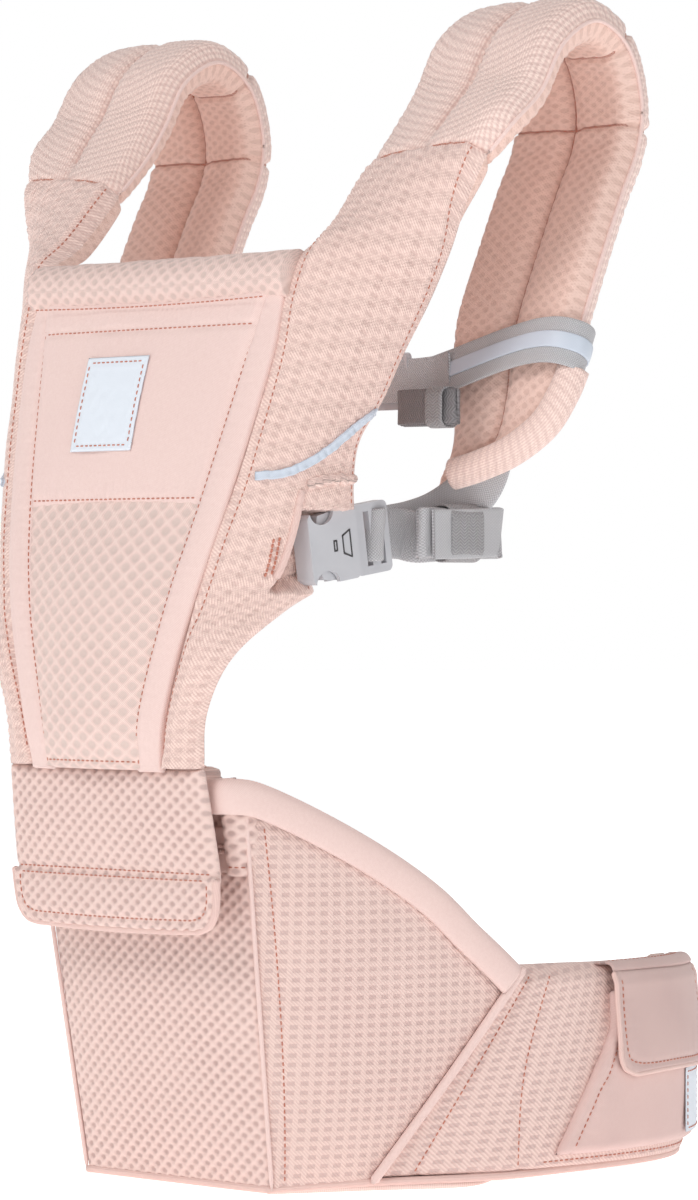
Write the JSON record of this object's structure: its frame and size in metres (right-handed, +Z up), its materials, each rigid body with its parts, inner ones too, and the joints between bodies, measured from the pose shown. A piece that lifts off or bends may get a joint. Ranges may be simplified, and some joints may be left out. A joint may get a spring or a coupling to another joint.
{
  "type": "soft baby carrier",
  "caption": "Soft structured baby carrier with a firm hip seat, padded waist belt, padded shoulder straps, a chest strap and side-release buckles.",
  "frame": {"origin": "on the face the hip seat stands on, midway between the carrier's sides and close to the middle of the seat", "axes": "+Z up, -Y to the front, away from the wearer, +X to the wearer's left"},
  "size_m": [0.35, 0.3315, 0.5701],
  "materials": {
    "mesh_fabric": "embossed air mesh, dusty pink",
    "smooth_fabric": "smooth woven, dusty pink",
    "lining_fabric": "soft knit lining",
    "foam": "closed-cell foam",
    "grey_webbing": "woven webbing",
    "label_cloth": "woven blank label",
    "fastener": "tape",
    "zip_plastic": "moulded",
    "buckle_plastic": "fine moulded grain"
  },
  "bodies": {
    "hip_seat": {"belt_left_wing": "mesh_fabric", "belt_right_wing": "mesh_fabric", "pouch_body": "smooth_fabric", "pouch_fastener": "fastener", "seat_back_pad": "lining_fabric", "seat_base_cover": "lining_fabric", "seat_deck_cover": "smooth_fabric", "seat_foam_core": "foam", "seat_front_cover": "mesh_fabric", "seat_left_band": "smooth_fabric", "seat_left_cover": "mesh_fabric", "seat_right_band": "smooth_fabric", "seat_right_cover": "mesh_fabric", "waist_buckle_housing": "buckle_plastic", "waist_left_webbing": "grey_webbing", "waist_right_webbing": "grey_webbing", "zip_tape": "fastener", "zip_teeth": "zip_plastic"},
    "panel": {"chest_buckle_housing": "buckle_plastic", "chest_left_loop": "grey_webbing", "chest_right_loop": "grey_webbing", "chest_roll": "grey_webbing", "chest_webbing": "grey_webbing", "hood_pocket": "smooth_fabric", "label_patch": "label_cloth", "left_buckle_housing": "buckle_plastic", "left_keeper": "grey_webbing", "left_strap_cover": "mesh_fabric", "left_strap_foam": "foam", "left_webbing": "grey_webbing", "left_webbing_roll": "grey_webbing", "neck_roll": "mesh_fabric", "panel_left_strip": "smooth_fabric", "panel_liner": "lining_fabric", "panel_mesh": "mesh_fabric", "panel_right_strip": "smooth_fabric", "right_buckle_housing": "buckle_plastic", "right_keeper": "grey_webbing", "right_strap_cover": "mesh_fabric", "right_strap_foam": "foam", "right_webbing": "grey_webbing", "right_webbing_roll": "grey_webbing", "stowed_hood": "smooth_fabric", "wing_left": "mesh_fabric", "wing_right": "mesh_fabric"},
    "cover_flap": {"cover_flap": "mesh_fabric"},
    "pouch_flap": {"pouch_flap": "smooth_fabric"},
    "zip_slider": {"zip_slider": "zip_plastic"},
    "left_insert": {"left_buckle_insert": "buckle_plastic"},
    "left_arm_upper": {"left_latch_arm_upper": "buckle_plastic"},
    "left_arm_lower": {"left_latch_arm_lower": "buckle_plastic"},
    "right_insert": {"right_buckle_insert": "buckle_plastic"},
    "right_arm_upper": {"right_latch_arm_upper": "buckle_plastic"},
    "right_arm_lower": {"right_latch_arm_lower": "buckle_plastic"},
    "chest_insert": {"chest_buckle_insert": "buckle_plastic"},
    "chest_arm_upper": {"chest_latch_arm_upper": "buckle_plastic"},
    "chest_arm_lower": {"chest_latch_arm_lower": "buckle_plastic"},
    "waist_insert": {"waist_buckle_insert": "buckle_plastic"},
    "waist_arm_upper": {"waist_latch_arm_upper": "buckle_plastic"},
    "waist_arm_lower": {"waist_latch_arm_lower": "buckle_plastic"}
  },
  "joints": [
    {"name": "panel_fold", "type": "hinge", "parent": "hip_seat", "child": "panel", "pos_m": [0, -0.1075, 0.203], "axis": [1, 0, 0], "range_deg": [-10, 60]},
    {"name": "cover_flap_lift", "type": "hinge", "parent": "hip_seat", "child": "cover_flap", "pos_m": [0, -0.1015, 0.202], "axis": [-1, 0, 0], "range_deg": [0, 80]},
    {"name": "pouch_flap_lift", "type": "hinge", "parent": "hip_seat", "child": "pouch_flap", "pos_m": [0.1405, 0.1575, 0.102], "axis": [0.328, -0.9447, 0], "range_deg": [0, 120]},
    {"name": "zip_travel", "type": "slide", "parent": "hip_seat", "child": "zip_slider", "axis": [1, 0, 0], "range_m": [0, 0.108]},
    {"name": "left_buckle_release", "type": "slide", "parent": "panel", "child": "left_insert", "axis": [0, 0.9889, 0.1483], "range_m": [0, 0.028], "deforming": ["left_latch_arm_upper", "left_latch_arm_lower"]},
    {"name": "left_latch_squeeze", "type": "hinge", "parent": "left_insert", "child": "left_arm_upper", "pos_m": [0.098, -0.03566, 0.32218], "axis": [1, 0, 0], "range_deg": [0, 10], "stiffness_Nm_per_rad": 0.05},
    {"name": "left_latch_squeeze_lower", "type": "hinge", "parent": "left_insert", "child": "left_arm_lower", "pos_m": [0.098, -0.03225, 0.29943], "axis": [1, 0, 0], "range_deg": [-10, 0], "stiffness_Nm_per_rad": 0.05},
    {"name": "right_buckle_release", "type": "slide", "parent": "panel", "child": "right_insert", "axis": [0, 0.9889, 0.1483], "range_m": [0, 0.028], "deforming": ["right_latch_arm_upper", "right_latch_arm_lower"]},
    {"name": "right_latch_squeeze", "type": "hinge", "parent": "right_insert", "child": "right_arm_upper", "pos_m": [-0.098, -0.03225, 0.29943], "axis": [-1, 0, 0], "range_deg": [0, 10], "stiffness_Nm_per_rad": 0.05},
    {"name": "right_latch_squeeze_lower", "type": "hinge", "parent": "right_insert", "child": "right_arm_lower", "pos_m": [-0.098, -0.03566, 0.32218], "axis": [-1, 0, 0], "range_deg": [-10, 0], "stiffness_Nm_per_rad": 0.05},
    {"name": "chest_buckle_release", "type": "slide", "parent": "panel", "child": "chest_insert", "axis": [1, 0, 0], "range_m": [0, 0.024], "deforming": ["chest_latch_arm_upper", "chest_latch_arm_lower"]},
    {"name": "chest_latch_squeeze", "type": "hinge", "parent": "chest_insert", "child": "chest_arm_upper", "pos_m": [0.0604, 0.02, 0.3975], "axis": [0, -1, 0], "range_deg": [0, 10], "stiffness_Nm_per_rad": 0.05},
    {"name": "chest_latch_squeeze_lower", "type": "hinge", "parent": "chest_insert", "child": "chest_arm_lower", "pos_m": [0.0604, 0.02, 0.3805], "axis": [0, -1, 0], "range_deg": [-10, 0], "stiffness_Nm_per_rad": 0.05},
    {"name": "waist_buckle_release", "type": "slide", "parent": "hip_seat", "child": "waist_insert", "axis": [1, 0, 0], "range_m": [0, 0.028], "deforming": ["waist_latch_arm_upper", "waist_latch_arm_lower"]},
    {"name": "waist_latch_squeeze", "type": "hinge", "parent": "waist_insert", "child": "waist_arm_upper", "pos_m": [0.0084, 0.216, 0.0365], "axis": [0, 1, 0], "range_deg": [0, 10], "stiffness_Nm_per_rad": 0.05},
    {"name": "waist_latch_squeeze_lower", "type": "hinge", "parent": "waist_insert", "child": "waist_arm_lower", "pos_m": [0.0084, 0.216, 0.0755], "axis": [0, 1, 0], "range_deg": [-10, 0], "stiffness_Nm_per_rad": 0.05}
  ],
  "couplings": [
    {"joint": "left_latch_squeeze_lower", "follows": "left_latch_squeeze", "ratio": -1},
    {"joint": "right_latch_squeeze_lower", "follows": "right_latch_squeeze", "ratio": -1},
    {"joint": "chest_latch_squeeze_lower", "follows": "chest_latch_squeeze", "ratio": -1},
    {"joint": "waist_latch_squeeze_lower", "follows": "waist_latch_squeeze", "ratio": -1}
  ]
}
